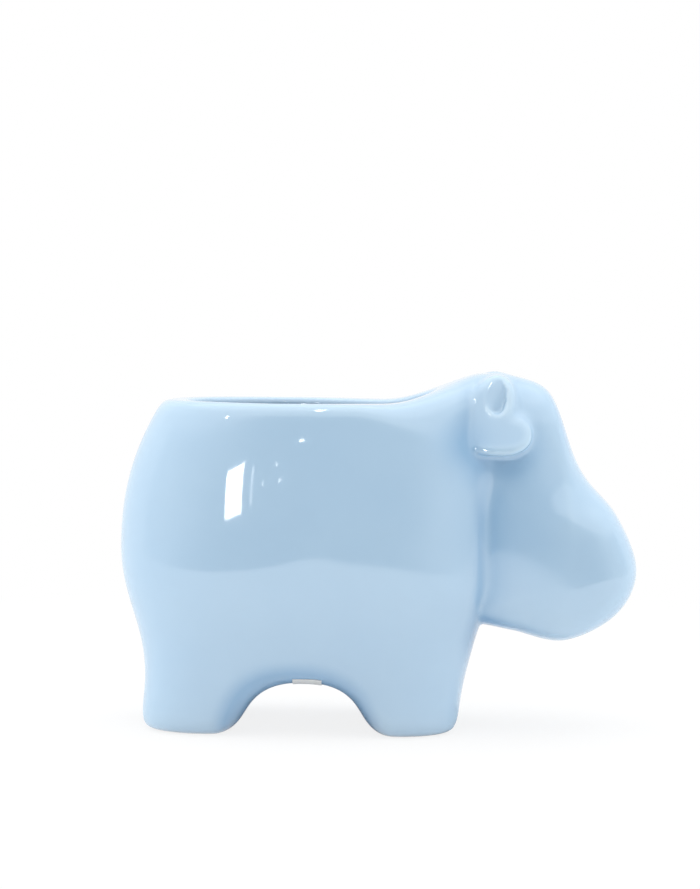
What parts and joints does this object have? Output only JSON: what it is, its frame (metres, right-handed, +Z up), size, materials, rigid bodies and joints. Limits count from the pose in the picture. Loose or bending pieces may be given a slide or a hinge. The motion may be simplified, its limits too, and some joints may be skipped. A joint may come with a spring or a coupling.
{
  "type": "hippo vase",
  "caption": "Glazed ceramic vase in the form of a standing hippopotamus, open along the back to hold cut flowers or a small plant.",
  "frame": {"origin": "on the floor below the middle of the bounding box", "axes": "+X forwards from the rump to the nose, +Y to the animal's left, +Z up"},
  "size_m": [0.2, 0.098, 0.138],
  "materials": {
    "glaze": "pale sky-blue gloss glaze, thinner and lighter on edges, deeper in the creases",
    "label_paper": "matt off-white paper, blank"
  },
  "bodies": {
    "root": {"body_shell": "glaze", "head_shell": "glaze", "ear_left": "glaze", "ear_right": "glaze", "leg_front_left": "glaze", "leg_front_right": "glaze", "leg_rear_left": "glaze", "leg_rear_right": "glaze", "underside_label": "label_paper"}
  },
  "joints": []
}
